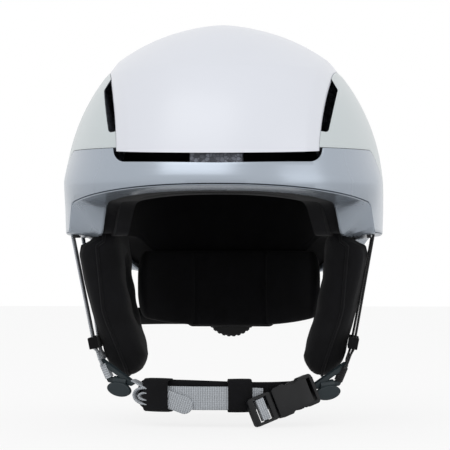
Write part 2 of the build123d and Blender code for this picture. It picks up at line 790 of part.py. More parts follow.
def make_keeper():
    half_w = keeper_width / 2
    z = (keeper_z - keeper_height / 2, keeper_z + keeper_height / 2)
    hinge_z = z[1] - 4
    plate_y = (keeper_hinge_y + 0.6, keeper_hinge_y + 2.7)
    foot_y = plate_y[0] - keeper_gap
    base = block((-half_w, half_w), (125, foot_y), z)
    lugs = [block(sorted((s * (half_w - 3), s * half_w)), (foot_y - 1, keeper_hinge_y + 3),
                  (hinge_z - 3.4, hinge_z + 3.4)) for s in (-1, 1)]
    bore = rod((-20, keeper_hinge_y, hinge_z), (20, keeper_hinge_y, hinge_z), keeper_pin_radius)
    base = (base - dome(-seat_gap)) + lugs - bore
    parts["goggle_clip_base"] = single(base)
    parts["goggle_clip_pin"] = rod((-half_w, keeper_hinge_y, hinge_z), (half_w, keeper_hinge_y, hinge_z),
                                   keeper_pin_radius - fit_gap)
    inner_w = half_w - 3 - 0.3
    barrel = rod((-inner_w, keeper_hinge_y, hinge_z), (inner_w, keeper_hinge_y, hinge_z), 2.7)
    plate = block((-inner_w, inner_w), plate_y, (z[0] + 2, hinge_z))
    hook = block((-inner_w, inner_w), (foot_y + seat_gap, plate_y[1]), (z[0], z[0] + 3))
    parts["goggle_clip"] = single(barrel + plate + hook - bore)


def write_parts():
    os.makedirs("parts", exist_ok=True)
    for name, shape in parts.items():
        export_step(shape, "parts/" + name + ".step")


make_shell()
make_rim_wrap()
make_impact_liner()
make_comfort_liner()
make_straps()
make_ear_pads()
make_chin()
make_webbing_fold()
make_dividers()
make_buckle()
make_cradle()
make_dial()
make_neck_pad()
make_keeper()
write_parts()
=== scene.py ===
import bpy, bmesh, json, math
import numpy as np
from mathutils import Vector, Matrix

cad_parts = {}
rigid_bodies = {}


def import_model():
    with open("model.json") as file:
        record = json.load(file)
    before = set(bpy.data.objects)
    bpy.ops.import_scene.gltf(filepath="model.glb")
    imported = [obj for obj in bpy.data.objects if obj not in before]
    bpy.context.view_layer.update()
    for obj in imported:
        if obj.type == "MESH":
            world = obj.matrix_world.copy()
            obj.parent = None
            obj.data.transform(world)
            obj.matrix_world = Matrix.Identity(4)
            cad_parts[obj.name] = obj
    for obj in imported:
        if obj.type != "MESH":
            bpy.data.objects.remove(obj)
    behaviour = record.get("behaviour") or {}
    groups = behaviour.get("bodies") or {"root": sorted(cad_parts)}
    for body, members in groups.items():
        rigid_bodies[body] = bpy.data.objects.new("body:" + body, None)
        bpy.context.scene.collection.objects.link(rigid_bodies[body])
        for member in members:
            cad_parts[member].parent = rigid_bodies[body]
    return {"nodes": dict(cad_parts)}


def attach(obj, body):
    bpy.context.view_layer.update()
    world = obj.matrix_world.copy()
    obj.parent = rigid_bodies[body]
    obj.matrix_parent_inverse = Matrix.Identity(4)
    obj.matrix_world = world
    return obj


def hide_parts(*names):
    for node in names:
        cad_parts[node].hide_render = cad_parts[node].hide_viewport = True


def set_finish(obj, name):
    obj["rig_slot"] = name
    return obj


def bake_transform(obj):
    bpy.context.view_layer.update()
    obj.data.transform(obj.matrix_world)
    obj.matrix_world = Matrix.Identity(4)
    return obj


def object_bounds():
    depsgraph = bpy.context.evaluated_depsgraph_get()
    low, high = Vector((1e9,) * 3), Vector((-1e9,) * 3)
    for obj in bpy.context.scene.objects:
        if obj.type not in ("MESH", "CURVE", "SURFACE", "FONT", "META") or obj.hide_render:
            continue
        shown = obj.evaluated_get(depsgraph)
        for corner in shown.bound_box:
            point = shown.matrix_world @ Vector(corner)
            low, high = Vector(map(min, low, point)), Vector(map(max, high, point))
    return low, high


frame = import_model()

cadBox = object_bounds()
mm = 0.001
pi = math.pi
deg = math.radians


# Helpers used by all pieces

def deselectAll():
    if bpy.context.object and bpy.context.object.mode != "OBJECT":
        bpy.ops.object.mode_set(mode="OBJECT")
    bpy.ops.object.select_all(action="DESELECT")


def makeActive(piece):
    deselectAll()
    piece.select_set(True)
    bpy.context.view_layer.objects.active = piece


def newMesh(name, points, faces):
    mesh = bpy.data.meshes.new(name)
    mesh.from_pydata([tuple(c * mm for c in p) for p in points], [], faces)
    piece = bpy.data.objects.new(name, mesh)
    bpy.context.scene.collection.objects.link(piece)
    return piece


def tidyMesh(piece, merge=0.01):
    makeActive(piece)
    bpy.ops.object.mode_set(mode="EDIT")
    bpy.ops.mesh.select_all(action="SELECT")
    bpy.ops.mesh.remove_doubles(threshold=merge * mm)
    bpy.ops.mesh.normals_make_consistent(inside=False)
    bpy.ops.object.mode_set(mode="OBJECT")


def applyModifier(piece, kind, **settings):
    makeActive(piece)
    modifier = piece.modifiers.new(kind, kind)
    for key, value in settings.items():
        setattr(modifier, key, value)
    bpy.ops.object.modifier_apply(modifier=modifier.name)


def carve(piece, cutter, how):
    applyModifier(piece, "BOOLEAN", object=cutter, operation=how, solver="MANIFOLD")
    bpy.data.objects.remove(cutter)


def smooth(piece, angle=35):
    makeActive(piece)
    bpy.ops.object.shade_smooth_by_angle(angle=deg(angle))


def softenEdges(piece, width, segments=2, angle=40):
    applyModifier(piece, "BEVEL", width=width * mm, segments=segments, limit_method="ANGLE",
                  angle_limit=deg(angle), use_clamp_overlap=True)


def finished(piece, slotName, node=None, body="helmet"):
    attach(piece, body)
    if node:
        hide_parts(node)
    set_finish(piece, slotName)
    return piece


def step(low, high, value):
    t = np.clip((value - low) / (high - low), 0, 1)
    return t * t * (3 - 2 * t)


def roundOutline(points, radii, closed=True, steps=6):
    out = []
    count = len(points)
    for i, (x, y) in enumerate(points):
        radius = radii if isinstance(radii, (int, float)) else radii[i]
        if (not closed and i in (0, count - 1)) or radius <= 0:
            out.append((x, y))
            continue
        here = np.array((x, y), float)
        a = np.array(points[i - 1], float) - here
        b = np.array(points[(i + 1) % count], float) - here
        a, b = a / np.linalg.norm(a), b / np.linalg.norm(b)
        half = math.acos(np.clip(np.dot(a, b), -1, 1)) / 2
        reach = radius / math.tan(half)
        centre = here + (a + b) / np.linalg.norm(a + b) * radius / math.sin(half)
        start, end = here + a * reach - centre, here + b * reach - centre
        for k in range(steps + 1):
            v = start * (1 - k / steps) + end * k / steps
            out.append(tuple(centre + v / np.linalg.norm(v) * radius))
    return out


def ringFaces(rows, around):
    faces = []
    for i in range(rows - 1):
        for k in range(around):
            m = (k + 1) % around
            faces.append((i * around + k, (i + 1) * around + k, (i + 1) * around + m, i * around + m))
    end = rows * around - 1
    return faces + [tuple(range(around)), tuple(range(end, end - around, -1))]


def prism(outline, axis, low, high):
    place = {"x": lambda a, b, t: (t, a, b),
             "y": lambda a, b, t: (a, t, b),
             "z": lambda a, b, t: (a, b, t)}[axis]
    count = len(outline)
    points = [place(a, b, low) for a, b in outline] + [place(a, b, high) for a, b in outline]
    faces = [tuple(range(count)), tuple(range(2 * count - 1, count - 1, -1))]
    faces += [(i, i + count, (i + 1) % count + count, (i + 1) % count) for i in range(count)]
    piece = newMesh("cutter", points, faces)
    tidyMesh(piece)
    return piece


# The shell's form: half caps round the brow and the nape, in section two arcs and a skirt

form = {
    "halfWidth": 111.0, "halfLength": 139.0, "rise": 115.0, "centreY": -5.0, "centreZ": -80.0,
    "crownRadius": 121.0, "sideRadius": 134.0, "skirtRadius": 600.0, "skirt": 75.0, "planPower": 2.22,
    "rim": [(-190, -66.8), (-71, -85.7), (-58, -105.5), (55, -108), (88, -131), (190, -136)],
    "rimRadii": [0, 14, 7, 30, 20, 0],
    "lip": [(-190, -70.2), (-76, -86.3), (-62, -109), (54, -111.5), (86, -136), (190, -141)],
    "lipRadii": [0, 14, 8, 30, 20, 0],
    "crease": [(68.2, -107), (80.0, 20), (72.7, 120)],
    "ridgeZ": -70.5, "ridgeHeight": 2.3,
    "creaseStrip": 7.0, "creaseLift": 2.0,
}


def circleThrough(a, b, c):
    (ax, ay), (bx, by), (cx, cy) = a, b, c
    d = 2 * (ax * (by - cy) + bx * (cy - ay) + cx * (ay - by))
    a2, b2, c2 = ax * ax + ay * ay, bx * bx + by * by, cx * cx + cy * cy
    ux = (a2 * (by - cy) + b2 * (cy - ay) + c2 * (ay - by)) / d
    uy = (a2 * (cx - bx) + b2 * (ax - cx) + c2 * (bx - ax)) / d
    return ux, uy, math.hypot(ax - ux, ay - uy)


creaseCircle = circleThrough(*form["crease"])


def creaseX(y):
    ux, uy, radius = creaseCircle
    return ux + np.sqrt(np.maximum(radius ** 2 - (np.asarray(y) - uy) ** 2, 0))


def profile(inset, crownSteps=30, sideSteps=30, skirtSteps=16):
    crownC, sideC = form["rise"] - form["crownRadius"], form["halfWidth"] - form["sideRadius"]
    skirtC = form["halfWidth"] - form["skirtRadius"]
    crownR, sideR, skirtR = [form[part + "Radius"] - inset for part in ("crown", "side", "skirt")]
    gap = math.hypot(sideC, crownC)
    near = (gap ** 2 + sideR ** 2 - crownR ** 2) / (2 * gap)
    far = math.sqrt(sideR ** 2 - near ** 2)
    ux, uz = -sideC / gap, crownC / gap
    x, z = sideC + ux * near - uz * far, uz * near + ux * far
    crownEnd, sideStart = math.atan2(z - crownC, x), math.atan2(z, x - sideC)
    a = np.linspace(pi / 2, crownEnd, crownSteps + 1)
    b = np.linspace(sideStart, 0, sideSteps + 1)[1:]
    c = np.linspace(0, -math.asin(form["skirt"] / skirtR), skirtSteps + 1)[1:]
    rho = np.concatenate((crownR * np.cos(a), sideC + sideR * np.cos(b), skirtC + skirtR * np.cos(c)))
    level = np.concatenate((crownC + crownR * np.sin(a), sideR * np.sin(b), skirtR * np.sin(c)))
    rho[0] = 0
    return rho, level + form["centreZ"]


def planPoint(rho, angle):
    power = 2 / form["planPower"]
    c, s = np.cos(angle), np.sin(angle)
    x = rho * np.sign(c) * np.abs(c) ** power
    y = form["centreY"] + (rho + form["halfLength"] - form["halfWidth"]) * np.sign(s) * np.abs(s) ** power
    return x, y


def planAngles(columns):
    t = np.arange(columns) / columns * 2 * pi
    return t - 0.06 * np.sin(4 * t)


def domeGrid(inset, columns, lift=True):
    rho, level = profile(inset)
    rho1, level1 = profile(inset - 1)
    angles = planAngles(columns)
    x, y = planPoint(rho[:, None], angles[None, :])
    z = np.repeat(level[:, None], columns, 1)
    if lift:
        x1, y1 = planPoint(rho1[:, None], angles[None, :])
        z1 = np.repeat(level1[:, None], columns, 1)
        up = outward(x, y, z)
        x, y, z = x + (x1 - x) * up, y + (y1 - y) * up, z + (z1 - z) * up
    return x, y, z


def outward(x, y, z):
    tall = np.clip(1 - np.abs(z - form["ridgeZ"]) / np.where(z > form["ridgeZ"], 17, 22), 0, 1)
    return form["ridgeHeight"] * tall ** 1.25 * (1 - step(-62, -10, y))


def crownLift(x, y, z):
    inside = creaseX(y) - np.abs(x)
    strip = np.clip(inside / form["creaseStrip"], 0, 1)
    return form["creaseLift"] * strip - 0.35 * (1 - step(-3, 0.5, inside))


def domeSolid(name, outer, inner, columns=300, extra=None):
    grids = []
    for inset in (outer, inner):
        x, y, z = domeGrid(inset, columns)
        if extra:
            x1, y1, z1 = domeGrid(inset - 1, columns)
            up = extra(x, y, z)
            x, y, z = x + (x1 - x) * up, y + (y1 - y) * up, z + (z1 - z) * up
        grids.append(np.stack((x, y, z), -1))
    rows = grids[0].shape[0]
    points = np.concatenate([g.reshape(-1, 3) for g in grids])
    total = rows * columns
    faces = []
    for r in range(rows - 1):
        for c in range(columns):
            d = (c + 1) % columns
            quad = (r * columns + c, (r + 1) * columns + c, (r + 1) * columns + d, r * columns + d)
            faces.append(quad)
            faces.append(tuple(total + i for i in reversed(quad)))
    last = (rows - 1) * columns
    for c in range(columns):
        d = (c + 1) % columns
        faces.append((last + c, total + last + c, total + last + d, last + d))
    piece = newMesh(name, points, faces)
    tidyMesh(piece)
    return piece


def rimPrism(lift=0.0, line="rim"):
    points = [(y, z + lift) for y, z in form[line]]
    outline = roundOutline(points, form[line + "Radii"], closed=False, steps=10)
    outline = outline + [(190, 120), (-190, 120)]
    return prism(outline, "x", -200, 200)


def creaseOutline():
    ys = np.linspace(-107, 120, 60)
    right = [(float(creaseX(y)), float(y)) for y in ys]
    right = [(right[0][0] - 12, -190)] + right + [(right[-1][0] - 4, 190)]
    return right + [(-x, y) for x, y in reversed(right)]


# Shell panels, each cut from the same form

shell = {
    "wall": 2.4, "edge": 0.55, "gap": 0.35,
    "crownFront": [(-190, -57.6), (-140, -54.0), (-100, -51.2), (-60, -49.0)],
    "crownBackZ": -46.0, "rearJointY": 62.0, "rearTopZ": -54.0,
    "jointZ": -50.2, "bandBack": [(-54, -50.2), (-45, -66), (-20, -90), (-3, -125)],
    "slotBottom": (-59.4, -60.7), "slotHalf": 67.5, "slotCorner": 8.0,
    "vent": [(62.0, -38.2), (73.2, 1.0), (79.2, -9.6), (72.8, -39.8)],
}


def crownPanel():
    piece = domeSolid("crownPanel", -0.2, shell["wall"] - 0.4, extra=crownLift)
    carve(piece, prism(creaseOutline(), "z", -62, 140), "INTERSECT")
    z1, y1 = shell["crownBackZ"], shell["rearJointY"]
    side = shell["crownFront"] + [(y1, z1), (190, z1), (190, 130), (-190, 130)]
    carve(piece, prism(side, "x", -200, 200), "INTERSECT")
    softenEdges(piece, 0.8, 3)
    smooth(piece)
    return finished(piece, "shell_white", "crown_panel")


def sidePanels():
    pieces = []
    for sign, word, node in ((1, "Left", "side_panel_left"), (-1, "Right", "side_panel_right")):
        piece = domeSolid("sidePanel" + word, 0, shell["wall"])
        ys = np.linspace(-107, 120, 60)
        arc = [(sign * (float(creaseX(y)) + shell["gap"]), float(y)) for y in ys]
        outline = [(sign * 55, -190)] + arc + [(sign * 72, 190), (sign * 200, 190), (sign * 200, -190)]
        carve(piece, prism(outline, "z", -170, 140), "INTERSECT")
        gap, y1 = shell["gap"], shell["rearJointY"]
        back = [(y + gap, z) for y, z in shell["bandBack"][1:]]
        side = [(-190, shell["jointZ"] + gap), (shell["bandBack"][0][0], shell["jointZ"] + gap)] + back
        side += [(y1 - gap, -160), (y1 - gap, shell["rearTopZ"]), (y1 + 2, shell["crownBackZ"]),
                 (190, shell["crownBackZ"]), (190, 130), (-190, 130)]
        side = roundOutline(side, [0, 14, 0, 30, 0, 0, 2, 2, 0, 0, 0], steps=8)
        carve(piece, prism(side, "x", -200, 200), "INTERSECT")
        carve(piece, rimPrism(), "INTERSECT")
        vent = roundOutline([(sign * x, z) for x, z in shell["vent"]], [0, 0, 2.2, 2.2])
        carve(piece, prism(vent, "y", -200, -20), "DIFFERENCE")
        softenEdges(piece, shell["edge"], 2)
        smooth(piece)
        pieces.append(finished(piece, "shell_pale", node))
    return pieces


def browBand():
    piece = domeSolid("browBand", 0, shell["wall"])
    side = [(-190, shell["jointZ"])] + shell["bandBack"] + [(-190, -125)]
    side = roundOutline(side, [0, 14, 0, 30, 0, 0], steps=8)
    carve(piece, prism(side, "x", -200, 200), "INTERSECT")
    carve(piece, rimPrism(), "INTERSECT")
    w, (zEnd, zMiddle) = shell["slotHalf"], shell["slotBottom"]
    corner = shell["slotCorner"]
    slot = roundOutline([(-w - 3.5, -40), (w + 3.5, -40), (w, zEnd), (0, zMiddle), (-w, zEnd)],
                        [0, 0, corner, 300, corner])
    carve(piece, prism(slot, "y", -220, -40), "DIFFERENCE")
    softenEdges(piece, shell["edge"], 2)
    smooth(piece)
    return finished(piece, "shell_silver", "brow_band")


def rearBand():
    piece = domeSolid("rearBand", 0, shell["wall"])
    y1 = shell["rearJointY"]
    side = [(y1, shell["rearTopZ"]), (190, shell["rearTopZ"]), (190, -160), (y1, -160)]
    carve(piece, prism(side, "x", -200, 200), "INTERSECT")
    carve(piece, rimPrism(), "INTERSECT")
    softenEdges(piece, shell["edge"], 2)
    smooth(piece)
    return finished(piece, "shell_pale", "rear_band")


# the wrap runs round the lower edge: crease outside, rounded lip inside
wrap = {"columns": 360, "inset": (15.0, 21.0, 17.0), "thick": 4.5}


def lineZ(points, radii, y):
    outline = roundOutline(points, radii, closed=False, steps=12)
    return np.interp(y, [p[0] for p in outline], [p[1] for p in outline])


def edgeLoop(inset, line, angles, drop=0.0):
    rows = []
    rho, level = profile(inset, 30, 40, 60)
    for angle in angles:
        x, y = planPoint(rho, angle)
        gap = level - (lineZ(form[line], form[line + "Radii"], y) + drop)
        first = int(np.argmax(gap < 0))
        t = gap[first - 1] / (gap[first - 1] - gap[first])
        px, py = x[first - 1] + (x[first] - x[first - 1]) * t, y[first - 1] + (y[first] - y[first - 1]) * t
        pz = level[first - 1] + (level[first] - level[first - 1]) * t
        up = float(outward(px, py, pz)) if inset < 3 else 0.0
        grow = 1 + up / form["halfWidth"]
        rows.append((px * grow, form["centreY"] + (py - form["centreY"]) * grow, pz))
    return np.array(rows)


def loftLoops(name, loops, closeSection=True):
    count = len(loops[0])
    points = np.concatenate(loops)
    sections = len(loops)
    faces = []
    for s in range(sections if closeSection else sections - 1):
        t = (s + 1) % sections
        for c in range(count):
            d = (c + 1) % count
            faces.append((s * count + c, t * count + c, t * count + d, s * count + d))
    piece = newMesh(name, points, faces)
    tidyMesh(piece)
    return piece


def rimWrap():
    angles = planAngles(wrap["columns"])
    brow, temple, back = wrap["inset"]
    _, ys = planPoint(np.array([100.0]), angles)
    insets = brow + (temple - brow) * step(-125, -70, ys) + (back - temple) * step(-40, 40, ys)
    low, high = profileLoops(insets, angles, "lip", 0), profileLoops(insets, angles, "lip", wrap["thick"])
    outer = edgeLoop(0.15, "rim", angles, -0.5)
    under = edgeLoop(0.9, "rim", angles, -1.1)
    top = edgeLoop(3.4, "rim", angles, 0.4)
    near = low + (under - low) * 0.08
    lipUp = low + (high - low) * 0.25
    piece = loftLoops("rimWrap", [outer, under, near, lipUp, high, top])
    softenEdges(piece, 0.35, 2, 25)
    smooth(piece, 45)
    return finished(piece, "shell_silver", "rim_wrap")


def profileLoops(insets, angles, line, drop):
    table = {}
    keys = sorted(set(np.round(insets, 0)))
    for key in keys:
        table[key] = edgeLoop(float(key), line, angles, drop)
    out = []
    for i, inset in enumerate(insets):
        low, high = math.floor(inset), math.ceil(inset)
        a = table.get(float(low), table[min(keys, key=lambda k: abs(k - low))])[i]
        b = table.get(float(high), table[min(keys, key=lambda k: abs(k - high))])[i]
        out.append(a + (b - a) * (inset - low))
    return np.array(out)


foam = {"outer": 2.7, "inner": 28.7, "rib": 17.0, "ventHalf": 69.0, "floorY": -72.0, "ventFloorY": -28.0}


def impactLiner():
    piece = domeSolid("impactLiner", foam["outer"], foam["inner"], 240)
    carve(piece, rimPrism(1.0), "INTERSECT")
    for sign in (-1, 1):
        x0, x1 = sorted((sign * foam["rib"], sign * foam["ventHalf"]))
        hole = roundOutline([(x0, -51), (x1, -51), (x1, -62), (x0, -62)], 2.5)
        carve(piece, prism(hole, "y", -200, foam["floorY"]), "DIFFERENCE")
        vent = roundOutline([(sign * x, z) for x, z in shell["vent"]], [0, 0, 2.2, 2.2])
        carve(piece, prism(vent, "y", -200, foam["ventFloorY"]), "DIFFERENCE")
    softenEdges(piece, 1.0, 2)
    smooth(piece)
    return finished(piece, "foam", "impact_liner")


# fabric hem that closes the foam's lower face, from inside the wrap to the lining
hem = {"inset": (12.0, 34.4), "low": -0.5, "high": 0.9, "turnUp": 3.5, "thick": 1.4}


def linerHem():
    angles = planAngles(240)
    first, last = hem["inset"]
    low, high, tuck = hem["low"], hem["high"], hem["high"] + hem["turnUp"]
    section = [(first, low), ((first + last) / 2, low - 0.5), (last, low), (last, tuck),
               (last - hem["thick"], tuck), (last - hem["thick"], high), (first, high)]
    piece = loftLoops("linerHem", [edgeLoop(inset, "rim", angles, drop) for inset, drop in section])
    softenEdges(piece, 0.5, 2, 30)
    smooth(piece, 50)
    return finished(piece, "lining")


lining = {"outer": 29.0, "inner": 34.6, "padInner": 37.0, "splitZ": -52.0, "splitY": -50.0}


def comfortLiner():
    piece = domeSolid("comfortLiner", lining["outer"], lining["inner"], 240)
    z, y = lining["splitZ"], lining["splitY"]
    side = [(-190, z), (y, z), (y, -170), (190, -170), (190, 130), (-190, 130)]
    carve(piece, prism(side, "x", -200, 200), "INTERSECT")
    carve(piece, rimPrism(4.0), "INTERSECT")
    softenEdges(piece, 1.8, 3)
    smooth(piece, 50)
    return finished(piece, "lining", "comfort_liner")


def browPad():
    piece = domeSolid("browPad", lining["outer"], lining["padInner"], 240)
    z, y = lining["splitZ"] - 0.4, lining["splitY"] - 0.4
    side = [(-190, z), (y, z), (y, -170), (-190, -170)]
    carve(piece, prism(side, "x", -200, 200), "INTERSECT")
    carve(piece, rimPrism(1.0, "lip"), "INTERSECT")
    softenEdges(piece, 2.6, 3)
    smooth(piece, 50)
    return finished(piece, "lining", "brow_pad")


# Moulded and metal parts: the frame's own shapes with softened edges

# thumb notches in both edges of the buckle's socket, over the spring arms
notch = {
    "start": (20.0, -59.5, -229.5), "end": (62.5, -39.5, -212.5), "normal": (0.371744, -0.916349, 0.148698),
    "at": 34.5, "edge": 12.6, "radii": (7.2, 4.2), "depth": 7.0,
}


def buckleAxes():
    start, end, normal = [Vector(notch[k]) for k in ("start", "end", "normal")]
    along = (end - start).normalized()
    return start, along, normal.cross(along).normalized(), normal


def notchCutters():
    start, along, side, normal = buckleAxes()
    cutters = []
    for sign in (-1, 1):
        ring = [(notch["at"] + notch["radii"][0] * math.cos(w),
                 sign * notch["edge"] + notch["radii"][1] * math.sin(w)) for w in np.arange(40) / 40 * 2 * pi]
        cutter = prism(ring, "z", -notch["depth"], notch["depth"])
        turn = Matrix((along, side, normal)).transposed().to_4x4()
        cutter.data.transform(Matrix.Translation(start * mm) @ turn)
        cutters.append(cutter)
    return cutters


def weaveLayer(piece):
    # flat layout in the buckle's plane: along the strap, then across it
    start, along, side, _ = buckleAxes()
    layer = piece.data.uv_layers.new(name="weave")
    for loop in piece.data.loops:
        place = piece.data.vertices[loop.vertex_index].co - start * mm
        layer.data[loop.index].uv = (place.dot(along), place.dot(side))


def softenNode(node, width=0.35, segments=2, angle=32, slotName="", body="helmet", flat=1.0):
    source = frame["nodes"][node]
    piece = bpy.data.objects.new(node.replace("_", " ").title().replace(" ", ""), source.data.copy())
    piece.data.transform(source.matrix_world)
    bpy.context.scene.collection.objects.link(piece)
    piece.data.materials.clear()
    tidyMesh(piece, 0.02)
    makeActive(piece)
    bpy.ops.object.mode_set(mode="EDIT")
    bpy.ops.mesh.select_all(action="SELECT")
    bpy.ops.mesh.dissolve_limited(angle_limit=deg(flat))
    bpy.ops.object.mode_set(mode="OBJECT")
    if node == "buckle_socket":
        for cutter in notchCutters():
            applyModifier(piece, "BOOLEAN", object=cutter, operation="DIFFERENCE", solver="EXACT")
            bpy.data.objects.remove(cutter)
    if width:
        softenEdges(piece, width, segments, angle)
    if slotName.startswith("webbing"):
        weaveLayer(piece)
    smooth(piece, angle)
    return finished(piece, slotName, node, body)


# Ear pads with a piped seam

ear = {
    "outline": [(-56, -104), (52, -104), (62, -122), (46, -165), (24, -206), (-10, -206), (-44, -165)],
    "radii": [10, 9, 12, 30, 18, 16, 30],
    "outer": [(-103, 91.0), (-111.8, 92.0), (-114.5, 98.8), (-121, 99.8), (-135, 96.9), (-160, 91.9),
              (-180, 87.2), (-196, 83.6), (-206.4, 80.5)],
    "inner": [(-103, 70.5), (-135, 69.0), (-160, 64.0), (-175, 59.5), (-192, 54.4), (-206.4, 55.5)],
    "flange": 4.0,
    "piping": 1.1, "hollow": 7.0, "hollowCentre": (4.0, -146.0), "hollowSize": (24.0, 26.0),
    "loopZ": -182.0, "columns": 120, "rings": 26,
}


def earSides(z):
    inner, outer = [np.interp(-z, [-a for a, _ in ear[side]], [b for _, b in ear[side]])
                    for side in ("inner", "outer")]
    return inner, outer


def earPad(sign):
    outline = roundOutline(ear["outline"], ear["radii"], steps=10)
    loop = np.array(outline + outline[:1])
    length = np.concatenate(([0], np.cumsum(np.linalg.norm(np.diff(loop, axis=0), axis=1))))
    even = np.linspace(0, length[-1], ear["columns"] + 1)[:-1]
    ring = np.stack([np.interp(even, length, loop[:, k]) for k in (0, 1)], -1)
    middle = ring.mean(axis=0)
    shares = np.concatenate((np.linspace(1, 0.93, 8)[:-1], np.linspace(0.93, 0.04, ear["rings"] - 7)))
    cy, cz = ear["hollowCentre"]
    sy, sz = ear["hollowSize"]

    def face(share, side):
        y = middle[0] + (ring[:, 0] - middle[0]) * share
        z = middle[1] + (ring[:, 1] - middle[1]) * share
        inner, outer = earSides(z)
        half, mid = (outer - inner) / 2, (outer + inner) / 2
        crown = (1 - min(share, 1) ** 9) ** 0.5
        seam = 0.75 * math.exp(-((share - 0.9) / 0.018) ** 2)
        x = half * crown - seam
        if side < 0:
            dip = np.clip(1 - ((y - cy) / sy) ** 2 - ((z - cz) / sz) ** 2, 0, 1)
            x = x - ear["hollow"] * dip ** 0.6
            x = x + 0.35 * np.sin(z * 0.31 + y * 0.07) * crown
        else:
            x = x - 0.5 * np.exp(-((z - ear["loopZ"]) / 5) ** 2)
            x = x + 0.3 * np.sin(z * 0.19 + 1 + y * 0.11) * crown
        front = np.clip((middle[0] - 12 - y) / 40, 0, 1) ** 2 * share ** 8
        mid = mid + ear["flange"] * front * np.clip((-112 - z) / 12, 0, 1)
        return np.stack((sign * (mid + side * np.maximum(x, 0.5)), y, z), -1)

    rings = [face(s, 1) for s in shares[::-1]] + [face(s, -1) for s in shares[1:]]
    faces = ringFaces(len(rings), ear["columns"])
    piece = newMesh("earPad" + ("Left" if sign > 0 else "Right"), np.concatenate(rings), faces)
    tidyMesh(piece)
    smooth(piece, 60)
    return piece


def earPiping(sign):
    outline = roundOutline(ear["outline"], ear["radii"], steps=10)
    path = []
    middle = np.mean([y for y, _ in outline])
    for y, z in outline:
        inner, outer = earSides(z)
        front = min(1, max(0, (middle - 12 - y) / 40)) ** 2 * min(1, max(0, (-112 - z) / 12))
        path.append((sign * ((inner + outer) / 2 + ear["flange"] * front), y, z))
    return tube("earPiping" + ("Left" if sign > 0 else "Right"), path, ear["piping"])


def tube(name, path, radius, sides=12):
    # a closed loop of round section
    curve = bpy.data.curves.new(name, "CURVE")
    curve.dimensions = "3D"
    curve.bevel_depth = radius * mm
    curve.bevel_resolution = sides // 4
    spline = curve.splines.new("POLY")
    spline.points.add(len(path) - 1)
    for i, p in enumerate(path):
        spline.points[i].co = (p[0] * mm, p[1] * mm, p[2] * mm, 1)
    spline.use_cyclic_u = True
    holder = bpy.data.objects.new(name, curve)
    bpy.context.scene.collection.objects.link(holder)
    makeActive(holder)
    bpy.ops.object.convert(target="MESH")
    tidyMesh(holder)
    smooth(holder, 50)
    return holder


def earPads():
    pads = []
    for sign, word in ((1, "left"), (-1, "right")):
        pads.append(finished(earPad(sign), "lining", "ear_pad_" + word))
        pads.append(finished(earPiping(sign), "lining"))
    return pads


# Webbing, with a layout along and across the strip for its weave

def ribbon(name, path, across, width=15.0, thick=1.8, roundEnd=(False, False), sections=None):
    path = np.array(path, float)
    dist = np.concatenate(([0], np.cumsum(np.linalg.norm(np.diff(path, axis=0), axis=1))))
    count = sections or max(2, int(dist[-1] / 0.9))
    t = np.linspace(0, dist[-1], count + 1)
    centre = np.stack([np.interp(t, dist, path[:, k]) for k in range(3)], -1)
    along = np.gradient(centre, axis=0)
    along /= np.linalg.norm(along, axis=1)[:, None]
    wide = np.array(across, float)
    if wide.ndim == 1:
        wide = np.repeat(wide[None, :], count + 1, 0)
    else:
        wide = np.stack([np.interp(t, dist, wide[:, k]) for k in range(3)], -1)
    wide = wide - along * (wide * along).sum(axis=1)[:, None]
    wide /= np.linalg.norm(wide, axis=1)[:, None]
    up = np.cross(along, wide)
    columns = max(6, int(width / 1.0))
    u = np.linspace(-1, 1, columns + 1)
    edge = np.sqrt(np.clip(1 - np.abs(u) ** 10, 0, 1))
    points, layer = [], []
    for i in range(count + 1):
        half = width / 2
        if roundEnd[0]:
            half *= math.sqrt(max(0.02, 1 - max(0, 1 - t[i] / (width / 2)) ** 2))
        if roundEnd[1]:
            half *= math.sqrt(max(0.02, 1 - max(0, 1 - (dist[-1] - t[i]) / (width / 2)) ** 2))
        lift = [up[i] * thick / 2 * (0.35 + 0.65 * b) for b in edge]
        top = [centre[i] + wide[i] * half * a + b for a, b in zip(u, lift)]
        low = [centre[i] + wide[i] * half * a - b for a, b in zip(u[::-1], lift[::-1])]
        points += top + low
        layer += [(t[i], half * a) for a in u] + [(t[i], half * a) for a in u[::-1]]
    piece = newMesh(name, points, ringFaces(count + 1, 2 * (columns + 1)))
    uv = piece.data.uv_layers.new(name="weave")
    for poly in piece.data.polygons:
        for k in poly.loop_indices:
            a, b = layer[piece.data.loops[k].vertex_index]
            uv.data[k].uv = (a * mm, b * mm)
    makeActive(piece)
    bpy.ops.object.mode_set(mode="EDIT")
    bpy.ops.mesh.select_all(action="SELECT")
    bpy.ops.mesh.normals_make_consistent(inside=False)
    bpy.ops.object.mode_set(mode="OBJECT")
    smooth(piece, 40)
    return piece


strap = {
    "top": (104.3, -104.0), "bottom": (86.0, -196.0), "frontY": (-40.0, -17.0), "rearY": (30.0, -9.0),
    "frontLift": 2.3,
    "frontEnd": [(87.6, -22.5, -191.5), (85.6, -25.2, -196.5), (83.6, -26.6, -200.5)],
    "rearEnd": [(86.4, -11.0, -191.0), (85.2, -18.5, -195.5), (83.8, -24.0, -199.5)],
    "ringBar": [(84.0, -26.1, -197.5), (78.9, -25.2, -209.75)],
}


def smoothPath(points, each=8):
    points = [np.array(p, float) for p in points]
    points = [2 * points[0] - points[1]] + points + [2 * points[-1] - points[-2]]
    path = []
    for a, b, c, d in zip(points, points[1:], points[2:], points[3:]):
        for t in np.arange(each) / each:
            bend = (2 * a - 5 * b + 4 * c - d) * t ** 2 + (3 * b - a - 3 * c + d) * t ** 3
            path.append(0.5 * (2 * b + (c - a) * t + bend))
    return path + [points[-2]]


